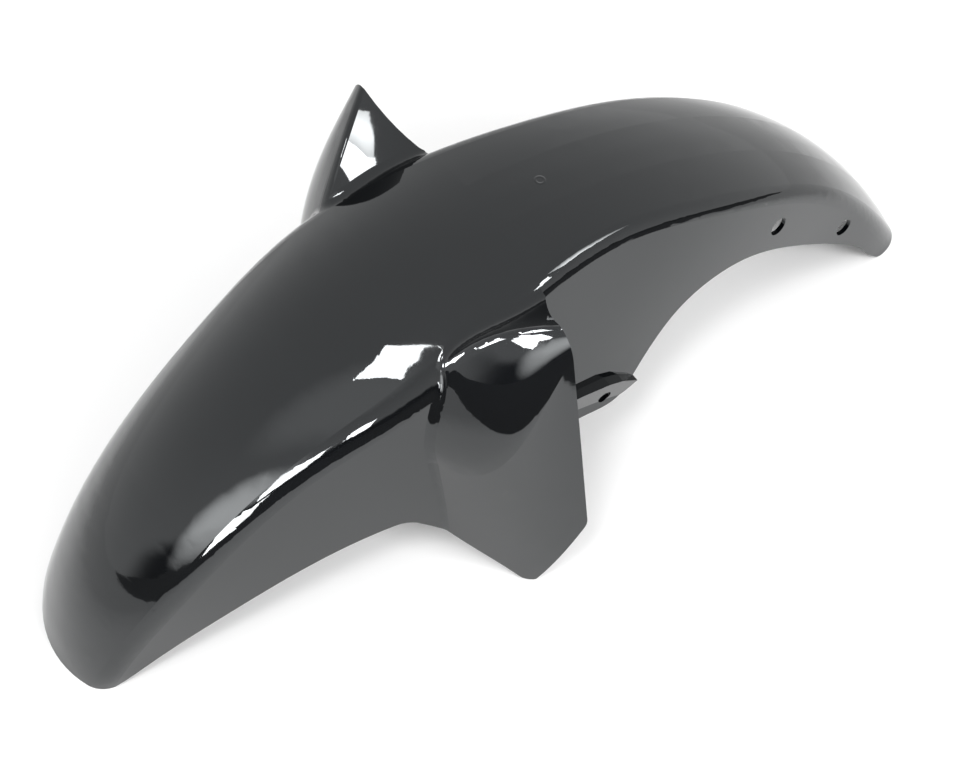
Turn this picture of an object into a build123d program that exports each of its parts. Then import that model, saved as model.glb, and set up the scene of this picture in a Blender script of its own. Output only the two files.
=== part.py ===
import os
from math import atan, cos, radians, sin, tan

from build123d import *

os.makedirs("parts", exist_ok=True)

# All sizes in mm. X runs forward to the nose, Y to the left, Z up from the floor that the part stands on.
# The arch runs round the wheel, so its sections lie in planes through the wheel's axle.
axle_x = 6.9
axle_z = -150.0
wall = 2.7
arch_depth = 200.0

# Sections of the arch from the nose to the tail: angle from the top, crown radius, half width at the
# shoulder, rise of the crown, lean of the side wall, shoulder radius
arch_sections = [
    (64.0, 311.9, 28.5, 9.0, 10.0, 14.0),
    (55.0, 318.0, 42.0, 15.4, 7.5, 14.0),
    (46.0, 322.3, 46.8, 21.5, 7.4, 18.0),
    (36.0, 325.5, 50.3, 23.6, 8.0, 20.0),
    (24.0, 327.9, 55.6, 22.0, 9.3, 20.0),
    (14.0, 329.1, 61.4, 19.0, 10.2, 20.0),
    (5.0, 329.7, 57.5, 12.5, 11.5, 16.0),
    (-3.0, 329.9, 50.0, 7.0, 12.6, 12.0),
    (-10.0, 329.9, 45.6, 5.7, 13.1, 10.0),
    (-22.0, 329.6, 45.8, 7.9, 9.3, 10.0),
    (-36.0, 329.5, 42.7, 8.4, 8.2, 10.0),
    (-47.0, 329.5, 41.8, 9.2, 6.3, 11.0),
    (-58.0, 330.0, 43.0, 9.3, 8.0, 13.0),
    (-66.0, 330.7, 47.0, 7.4, 12.0, 14.0),
]

# Lower edge of the side wall in side view: it leaves the floor at the toe, climbs to the notch before the
# wing, dips under the mounting pad behind the wing and arches over to the tail
toe_x = 263.0
front_edge = (190.5, 36.0)
wing_notch = (94.9, 60.2)
sill = 72.0
covered_end = 62.9
pad_edge = [(-7.3, 70.9), (-28.5, 65.0), (-40.5, 65.0), (-48.6, 70.3)]
rear_edge = [(-59.1, 78.5), (-85.1, 94.0), (-115.1, 98.0), (-180.1, 69.5), (-243.1, 19.5)]
tail_angle = 61.2
tail_corner = 307.8
tail_slope = 41.0
tail_round = 9.0
notch_round = 14.0

# Sections of the fork wing from its rear to its front, where it runs into the arch: x, distance out and
# height of the ridge, length of the rounded brow between the ridge and the front face, pitch of the top face.
# The brow's rounding takes up the stated share of it.
wing_sections = [
    (0.9, 102.3, 198.3, 4.6, 33.0),
    (16.3, 87.8, 194.6, 11.0, 40.4),
    (38.9, 69.5, 184.0, 31.0, 50.0),
    (62.9, 56.0, 158.0, 37.0, 45.0),
    (82.9, 46.0, 124.0, 8.0, 45.0),
]
ridge_round = 4.0
brow_pitch = 30.0
brow_share = 0.95
wing_tip = (46.1, 109.3)
foot_sweep = 42.0
crease = 6.0

# Edges of the wing: the trailing edge bows out from the arch to the peak and leans forward down to the cut,
# which runs to the tip on the floor, and the lower edge climbs from there to the notch
trail_root = (1.3, 55.0)
trail_bow = (8.3, 67.5)
trail_peak = wing_sections[1][:2]
trail_lean = 1.2
cut_top = 61.0
cut_round = 20.0
tip_round = 4.0
tip_drop = 3.0
lower_edge = (69.5, 32.0)

# Mounting pad and hole on each side wall behind the wing, and the pair of holes at the rear
pad_hole = (-27.0, 73.5)
pad_bore = 8.0
pad_face_y = 70.2
pad_yaw = 10.0
pad_lean = 7.5
pad_top = [(16.9, 97.0), (-12.0, 91.0), (-28.5, 86.1), (-38.0, 81.0), (-54.0, 66.0)]
rear_holes = [(-158.6, 101.2), (-219.1, 56.1)]
rear_bore = 11.0

# Room for the solids that trim the part, well clear of its outside
height = 260.0
half_span = 160.0
reach = 400.0
below = 30.0
core_y = 15.0
margin = 1.0


def arch_section(angle, radius, half_width, rise, lean, shoulder, inset):
    """Arch section in the plane through the axle at this angle, set in from the outer face."""
    turn = radians(angle)
    plane = Plane(origin=(axle_x, 0, axle_z), x_dir=(0, 1, 0), z_dir=(cos(turn), 0, -sin(turn)))
    corner = radius - rise
    foot = radius - arch_depth
    spread = half_width + (corner - foot) * tan(radians(lean))
    with BuildSketch(plane) as profile:
        with BuildLine():
            ThreePointArc((-half_width, corner), (0, radius), (half_width, corner))
            Polyline((half_width, corner), (spread, foot), (-spread, foot), (-half_width, corner))
        make_face()
        fillet(profile.vertices().sort_by(Axis.Y)[-2:], shoulder)
        if inset:
            offset(amount=-inset)
    return profile.sketch


def wing_section(x, ridge_y, ridge_z, brow, pitch, inset):
    """Wing section across the part at this x: top face, ridge, rounded brow and front face."""
    top, fall = radians(pitch), radians(brow_pitch)
    ridge = (ridge_y, ridge_z)
    corner = (ridge_y + brow * cos(fall), ridge_z - brow * sin(fall))
    foot_y = wing_tip[1] - (x - wing_tip[0]) * tan(radians(foot_sweep))
    flare = (foot_y - corner[0]) / corner[1]
    turn = radians(90) - fall - atan(flare)
    brow_left = brow - ridge_round * tan((top + fall) / 2)
    with BuildSketch(Plane(origin=(x, 0, 0), x_dir=(0, 1, 0), z_dir=(1, 0, 0))) as profile:
        with BuildLine():
            Polyline(
                ridge,
                corner,
                (foot_y + below * flare, -below),
                (core_y, -below),
                (core_y, ridge_z - (ridge_y - core_y) * tan(top)),
                close=True,
            )
        make_face()
        fillet(profile.vertices().sort_by_distance(ridge)[0], ridge_round)
        fillet(profile.vertices().sort_by_distance(corner)[0], brow_share * brow_left / tan(turn / 2))
        if inset:
            offset(amount=-inset)
    return profile.sketch


# Solid inside the arch's outer face, and the space for the wheel under its inner face
with BuildPart() as arch:
    loft(sections=[arch_section(*s, 0) for s in arch_sections])

with BuildPart() as wheel_space:
    loft(sections=[arch_section(*s, wall) for s in arch_sections])

# Both wings as solids, and the pockets behind them where the fork legs stand
with BuildPart() as wings:
    loft(sections=[wing_section(*s, 0) for s in wing_sections])
    mirror(about=Plane.XZ)

with BuildPart() as pockets:
    loft(sections=[wing_section(*s, wall) for s in wing_sections])
    mirror(about=Plane.XZ)
    add(arch.part, mode=Mode.SUBTRACT)

# What lies behind the wings' trailing edges, outside the arch
wing_rear, wing_front = wing_sections[0][0], wing_sections[-1][0]
peak_z = wing_sections[1][2]
lean = tan(radians(trail_lean))
trail_foot = trail_peak[0] + peak_z * lean
with BuildPart() as behind_wings:
    with BuildSketch(Plane((trail_foot - trail_peak[0], 0, 0))):
        with BuildLine():
            trail = ThreePointArc(trail_root, trail_bow, trail_peak)
            Polyline(
                trail @ 1,
                (trail_peak[0], half_span),
                (-reach, half_span),
                (-reach, core_y),
                (trail_root[0], core_y),
                trail @ 0,
            )
        make_face()
    extrude(amount=height, dir=(-lean, 0, 1))
    mirror(about=Plane.XZ)
    add(arch.part, mode=Mode.SUBTRACT)

# The side walls stop at the sill where a wing covers them
with BuildPart() as under_sill:
    with BuildSketch(Plane.XZ):
        with Locations((covered_end, sill)):
            Rectangle(covered_end - trail_root[0], height, align=(Align.MAX, Align.MAX))
    extrude(amount=half_span, both=True)
    add(arch.part, mode=Mode.INTERSECT)

# Pads for the fork bolts: flat faces that stand out from the leaning side walls
with BuildPart() as pads:
    with BuildSketch(Plane.XZ):
        with BuildLine():
            Polyline(*pad_top, (pad_top[-1][0], 0), (pad_top[0][0], 0), pad_top[0])
        make_face()
    extrude(amount=-half_span)
    face = Plane((pad_hole[0], pad_face_y, pad_hole[1])).rotated((-pad_lean - 90, 0, pad_yaw))
    split(bisect_by=face, keep=Keep.BOTTOM)
    mirror(about=Plane.XZ)

# Side view of the whole part, cut along its lower edges
with BuildPart() as side_view:
    with BuildSketch(Plane.XZ) as outline:
        turn, slope = radians(tail_angle), radians(tail_slope)
        heel = (axle_x - tail_corner * sin(turn), axle_z + tail_corner * cos(turn))
        tail_end = (axle_x - reach * sin(turn), axle_z + reach * cos(turn))
        tip = (wing_tip[0], -tip_drop)
        cut_corner = (trail_foot - cut_top * lean, cut_top)
        sill_end = (trail_foot - sill * lean, sill)
        with BuildLine():
            Polyline(tail_end, (tail_end[0], height), (reach, height), (reach, 0), (toe_x, 0))
            ThreePointArc((toe_x, 0), front_edge, wing_notch)
            ThreePointArc(wing_notch, lower_edge, tip)
            Polyline(tip, cut_corner, sill_end)
            Spline(sill_end, *pad_edge, *rear_edge, heel, tangents=[(-1, 0), (-cos(slope), -sin(slope))])
            Line(heel, tail_end)
        make_face()
        corners = [(wing_notch, notch_round), (tip, tip_round), (cut_corner, cut_round), (heel, tail_round)]
        for corner, radius in corners:
            fillet(outline.vertices().sort_by_distance(corner)[0], radius)
    extrude(amount=half_span, both=True)

with BuildPart() as mudguard:
    add(arch.part)
    add(wings.part)
    creases = new_edges(arch.part, wings.part, combined=mudguard.part)
    first, last = wing_rear + margin, wing_front - margin
    creases = [e for e in creases if first < (e @ 0.5).X < last and (e @ 0.5).Z > 0]
    fillet(creases, crease)
    add(behind_wings.part, mode=Mode.SUBTRACT)
    add(pads.part)
    add(wheel_space.part, mode=Mode.SUBTRACT)
    add(pockets.part, mode=Mode.SUBTRACT)
    add(under_sill.part, mode=Mode.SUBTRACT)
    add(side_view.part, mode=Mode.INTERSECT)
    with Locations(*[Location((x, 0, z), (90, 0, 0)) for x, z in rear_holes]):
        Cylinder(rear_bore / 2, 2 * half_span, mode=Mode.SUBTRACT)
    with Locations(Location((pad_hole[0], 0, pad_hole[1]), (90, 0, 0))):
        Cylinder(pad_bore / 2, 2 * half_span, mode=Mode.SUBTRACT)

mudguard.part.label = "mudguard"
export_step(mudguard.part, "parts/mudguard.step")
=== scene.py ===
from math import cos, pi, radians, sin, tan

import bpy
from mathutils import Matrix, Vector

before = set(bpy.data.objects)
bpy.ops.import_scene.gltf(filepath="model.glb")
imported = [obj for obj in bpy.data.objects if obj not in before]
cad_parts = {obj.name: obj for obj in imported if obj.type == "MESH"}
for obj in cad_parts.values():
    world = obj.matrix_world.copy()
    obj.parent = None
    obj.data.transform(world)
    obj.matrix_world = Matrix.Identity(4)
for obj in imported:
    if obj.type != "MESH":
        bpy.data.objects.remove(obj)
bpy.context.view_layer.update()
scene = bpy.context.scene
scene.view_settings.view_transform = "Standard"

# Places and lengths are in metres and angles in degrees. Azimuth runs from +X to +Y, elevation up from
# the floor.
WHITE = (1.0, 1.0, 1.0, 1.0)

# Camera at the photograph's place, with its focal length in pixels of a picture of this width
EYE = Vector((0.2148, 0.3590, 0.6757))
EYE_AZIMUTH, EYE_ELEVATION, EYE_ROLL = 59.95, 57.53, -2.94
FOCAL, IMAGE_WIDTH = 1335.0, 963.0

# Gloss black: body colour and roughness of clean and hazy places. The roughness blends over HAZE_RANGE.
BODY_CLEAN = (0.0010, 0.0012, 0.0016, 1.0)
BODY_HAZY = (0.0022, 0.0026, 0.0033, 1.0)
ROUGH_CLEAN, ROUGH_HAZY = 0.025, 0.06
HAZE_RANGE = (0.35, 0.75)
GLOSS_TINT = (0.95, 0.985, 1.0, 1.0)

# Small round mark that the moulding gate left on the crown: its place, and where its ring rises and falls
GATE_MARK = (-0.0313, 0.0008, 0.1777)
GATE_RISE = (0.0014, 0.0022)
GATE_FALL = (0.0024, 0.0033)

# Floor: a dark table, and on it a white sheet that ends along a straight line just below the picture.
# The line has a normal, a distance and a blend to each side of it. Shadows fade out over SHADOW_REACH.
FLOOR_HALF = 3.0
TABLE_TONE, SHEET_TONE = 0.07, 0.95
SHEET_NORMAL = (0.145, 0.989, 0.0)
SHEET_EDGE = 0.312
SHEET_BLEND = 0.006
SHADOW_REACH = (0.34, 0.6)

# Room: brightness of the sky at the horizon and from the height SKY_TOP up, and the dim part low down on the
# camera's side, by the cosine to its azimuth and by height. Heights are those of a unit direction.
SKY_LOW, SKY_HIGH, SKY_TOP = 1.1, 0.84, 0.9
DIM_LEVEL, DIM_AZIMUTH = 0.09, 60.0
DIM_SIDE = (0.45, 0.85)
DIM_HEIGHT = (0.06, 0.22)

# Soft patches of daylight in the room: azimuth, elevation, cosine at the edge, brightness
DAYLIGHT = [
    (38.0, 11.0, 0.965, 4.5),
    (38.0, 50.0, 0.93, 0.55),
]

# Windows: name, point they face, azimuth, elevation and distance from it, width, height, brightness, spread.
# A narrow spread keeps a window's reflection to the part that it faces, as the camera sees it.
FULL_SPREAD = 180.0
FAR_WING = (0.027, -0.063, 0.175)
WINDOWS = [
    ("skylight", (0.075, 0.045, 0.16), 39.0, 67.0, 1.6, 0.28, 0.40, 22.0, FULL_SPREAD),
    ("strip_low", (0.172, 0.047, 0.106), 51.0, -4.0, 0.3, 0.08, 0.065, 45.0, 22.0),
    ("strip_high", (0.14, 0.05, 0.129), 54.0, 8.0, 0.3, 0.075, 0.065, 45.0, 22.0),
    ("strip_side", (0.106, 0.056, 0.1435), 65.0, 11.5, 0.3, 0.05, 0.055, 45.0, 22.0),
    ("far_pane", FAR_WING, 109.0, 29.5, 1.2, 0.48, 0.23, 22.0, FULL_SPREAD),
    ("far_pane_rear", FAR_WING, 135.0, 29.0, 0.35, 0.15, 0.06, 22.0, 40.0),
    ("wing_low", (0.0545, 0.061, 0.1675), -27.0, 5.5, 0.25, 0.07, 0.05, 60.0, 24.0),
    ("wing_mid", (0.042, 0.070, 0.180), -9.0, 24.0, 0.25, 0.07, 0.06, 60.0, 24.0),
    ("wing_high", (0.025, 0.082, 0.190), -10.0, 50.0, 0.25, 0.06, 0.05, 60.0, 24.0),
    ("wing_side", (0.029, 0.082, 0.187), 20.0, 20.0, 0.25, 0.06, 0.05, 60.0, 24.0),
]


def direction(azimuth, elevation):
    """Unit vector towards this azimuth and elevation."""
    turn, rise = radians(azimuth), radians(elevation)
    return Vector((cos(rise) * cos(turn), cos(rise) * sin(turn), sin(rise)))


class Nodes:
    """Short way to write a node tree."""

    def __init__(self, tree):
        self.tree = tree
        tree.nodes.clear()

    def add(self, kind, inputs=None, **settings):
        node = self.tree.nodes.new("ShaderNode" + kind)
        for name, value in settings.items():
            setattr(node, name, value)
        for name, value in (inputs or {}).items():
            if isinstance(value, bpy.types.NodeSocket):
                self.tree.links.new(value, node.inputs[name])
            else:
                node.inputs[name].default_value = value
        return node

    def math(self, operation, first, second):
        return self.add("Math", {0: first, 1: second}, operation=operation).outputs["Value"]

    def measure(self, operation, first, second):
        """Number worked out from two vectors."""
        return self.add("VectorMath", {0: first, 1: second}, operation=operation).outputs["Value"]

    def ramp(self, value, start, end, out_start, out_end):
        """Smooth step of a value from one range to another."""
        inputs = {"Value": value, "From Min": start, "From Max": end, "To Min": out_start, "To Max": out_end}
        return self.add("MapRange", inputs, interpolation_type="SMOOTHSTEP").outputs["Result"]

    def noise(self, place, **inputs):
        return self.add("TexNoise", {"Vector": place, **inputs}).outputs["Fac"]

    def bump(self, height, **inputs):
        return self.add("Bump", {"Height": height, **inputs}).outputs["Normal"]


def new_material(name):
    material = bpy.data.materials.new(name)
    material.use_nodes = True
    return material, Nodes(material.node_tree)


def gloss_black():
    """Polished black moulding: deep black body, wet gloss, faint ripple and a little handling haze."""
    material, nodes = new_material("gloss_black")
    place = nodes.add("TexCoord").outputs["Object"]
    haze = nodes.noise(place, Scale=18.0, Detail=4.0, Roughness=0.6)
    sink = nodes.noise(place, Scale=22.0, Detail=1.0)
    peel = nodes.noise(place, Scale=420.0, Detail=2.0)
    body = nodes.add("ValToRGB", {"Fac": haze})
    body.color_ramp.elements[0].color = BODY_CLEAN
    body.color_ramp.elements[1].color = BODY_HAZY
    reach = nodes.measure("DISTANCE", place, GATE_MARK)
    rise = nodes.ramp(reach, *GATE_RISE, 0.0, 1.0)
    fall = nodes.ramp(reach, *GATE_FALL, 1.0, 0.0)
    gate = nodes.bump(nodes.math("MULTIPLY", rise, fall), Strength=0.6, Distance=0.0004)
    ripple = nodes.bump(sink, Strength=0.05, Distance=0.0012, Normal=gate)
    skin = nodes.bump(peel, Strength=0.05, Distance=0.00012, Normal=ripple)
    shader = nodes.add("BsdfPrincipled", {
        "Base Color": body.outputs["Color"],
        "Roughness": nodes.ramp(haze, *HAZE_RANGE, ROUGH_CLEAN, ROUGH_HAZY),
        "IOR": 1.6,
        "Specular Tint": GLOSS_TINT,
        "Normal": skin,
    })
    nodes.add("OutputMaterial", {"Surface": shader.outputs["BSDF"]})
    return material


def pale_floor():
    """White sheet that takes the shadow and is plain white further out, on a dark table."""
    material, nodes = new_material("floor")
    place = nodes.add("TexCoord").outputs["Object"]
    across = nodes.measure("DOT_PRODUCT", place, SHEET_NORMAL)
    inside = nodes.ramp(across, SHEET_EDGE - SHEET_BLEND, SHEET_EDGE + SHEET_BLEND, 1.0, 0.0)
    tone = nodes.ramp(inside, 0.0, 1.0, TABLE_TONE, SHEET_TONE)
    path = nodes.add("LightPath").outputs
    seen = nodes.math("MAXIMUM", path["Is Camera Ray"], path["Is Glossy Ray"])
    seen = nodes.math("MAXIMUM", seen, path["Is Transmission Ray"])
    distance = nodes.measure("DISTANCE", place, (0.0, 0.0, 0.0))
    far = nodes.math("MULTIPLY", nodes.ramp(distance, *SHADOW_REACH, 0.0, 1.0), inside)
    plain = nodes.math("MULTIPLY", far, seen)
    sheet = nodes.add("BsdfPrincipled", {"Base Color": tone, "Roughness": 0.9})
    white = nodes.add("Emission", {"Color": WHITE, "Strength": 1.0})
    both = nodes.add("MixShader", {0: plain, 1: sheet.outputs["BSDF"], 2: white.outputs["Emission"]})
    nodes.add("OutputMaterial", {"Surface": both.outputs["Shader"]})
    return material


def add_floor():
    mesh = bpy.data.meshes.new("floor")
    signs = [(-1, -1), (1, -1), (1, 1), (-1, 1)]
    mesh.from_pydata([(x * FLOOR_HALF, y * FLOOR_HALF, 0.0) for x, y in signs], [], [range(len(signs))])
    mesh.materials.append(pale_floor())
    floor = bpy.data.objects.new("floor", mesh)
    scene.collection.objects.link(floor)


def add_world():
    """White room, dim low down on the camera's side, with soft patches of daylight in front."""
    world = bpy.data.worlds.new("studio")
    world.use_nodes = True
    nodes = Nodes(world.node_tree)
    look = nodes.add("TexCoord").outputs["Generated"]
    height = nodes.add("SeparateXYZ", {"Vector": look}).outputs["Z"]
    towards = nodes.measure("DOT_PRODUCT", look, direction(DIM_AZIMUTH, 0.0))
    side = nodes.ramp(towards, *DIM_SIDE, 0.0, 1.0)
    low = nodes.ramp(height, *DIM_HEIGHT, 1.0, 0.0)
    dim = nodes.ramp(nodes.math("MULTIPLY", side, low), 0.0, 1.0, 1.0, DIM_LEVEL)
    level = nodes.math("MULTIPLY", dim, nodes.ramp(height, 0.0, SKY_TOP, SKY_LOW, SKY_HIGH))
    for azimuth, elevation, edge, peak in DAYLIGHT:
        facing = nodes.measure("DOT_PRODUCT", look, direction(azimuth, elevation))
        level = nodes.math("ADD", level, nodes.ramp(facing, edge, 1.0, 0.0, peak))
    background = nodes.add("Background", {"Color": WHITE, "Strength": level})
    nodes.add("OutputWorld", {"Surface": background.outputs["Background"]})
    scene.world = world


def add_window(name, target, azimuth, elevation, distance, width, height, level, spread):
    """Rectangular lamp that faces the target point and is this bright from straight ahead."""
    data = bpy.data.lights.new(name, "AREA")
    data.shape = "RECTANGLE"
    data.size = width
    data.size_y = height
    data.spread = radians(spread)
    # A narrow spread gathers the same power into a narrow beam, so the power is cut by as much
    beam = 1.0 if spread == FULL_SPREAD else tan(radians(spread / 2)) ** 2 / 3
    data.energy = level * beam * pi * width * height
    light = bpy.data.objects.new(name, data)
    aim = direction(azimuth, elevation)
    light.location = Vector(target) + aim * distance
    light.rotation_euler = aim.to_track_quat("Z", "Y").to_euler()
    light.visible_camera = False
    scene.collection.objects.link(light)


def add_camera():
    turn, roll = radians(EYE_AZIMUTH), radians(EYE_ROLL)
    back = direction(EYE_AZIMUTH, EYE_ELEVATION)
    level = Vector((-sin(turn), cos(turn), 0.0))
    rise = back.cross(level)
    right = cos(roll) * level + sin(roll) * rise
    up = cos(roll) * rise - sin(roll) * level
    data = bpy.data.cameras.new("camera")
    data.sensor_fit = "HORIZONTAL"
    data.sensor_width = 36.0
    data.lens = FOCAL / IMAGE_WIDTH * data.sensor_width
    camera = bpy.data.objects.new("camera", data)
    camera.matrix_world = Matrix.Translation(EYE) @ Matrix((right, up, back)).transposed().to_4x4()
    scene.collection.objects.link(camera)
    scene.camera = camera


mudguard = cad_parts["mudguard"]
for slot in mudguard.material_slots:
    slot.material = gloss_black()

add_floor()
add_world()
for window in WINDOWS:
    add_window(*window)
add_camera()
